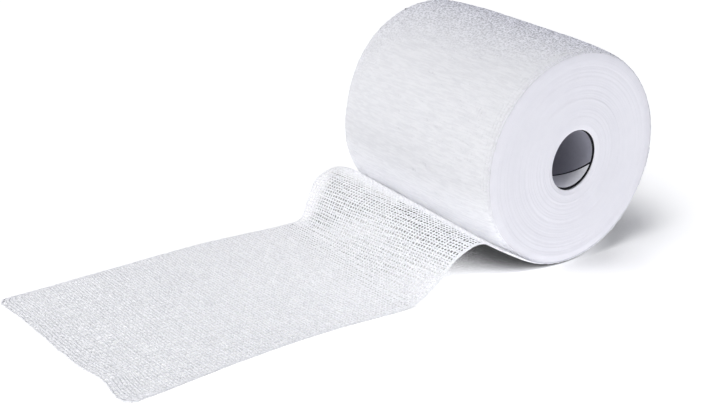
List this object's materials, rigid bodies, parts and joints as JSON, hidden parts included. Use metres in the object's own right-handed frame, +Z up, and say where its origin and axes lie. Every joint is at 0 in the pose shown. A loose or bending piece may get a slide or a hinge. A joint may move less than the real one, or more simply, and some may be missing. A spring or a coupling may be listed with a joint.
{
  "type": "cohesive bandage roll",
  "caption": "Roll of open-weave cohesive gauze bandage on a paper core, with its loose end arched off the roll and laid out flat.",
  "frame": {"origin": "middle of the flat spot that the roll rests on, under the roll's axis", "axes": "+Z up, X along the roll's axis, the loose end runs towards -Y"},
  "size_m": [0.1077, 0.2561, 0.0927],
  "materials": {
    "gauze": "matte",
    "core_paper": "matte"
  },
  "bodies": {
    "root": {"core": "core_paper", "wound_roll": "gauze", "loose_end": "gauze"}
  },
  "joints": []
}
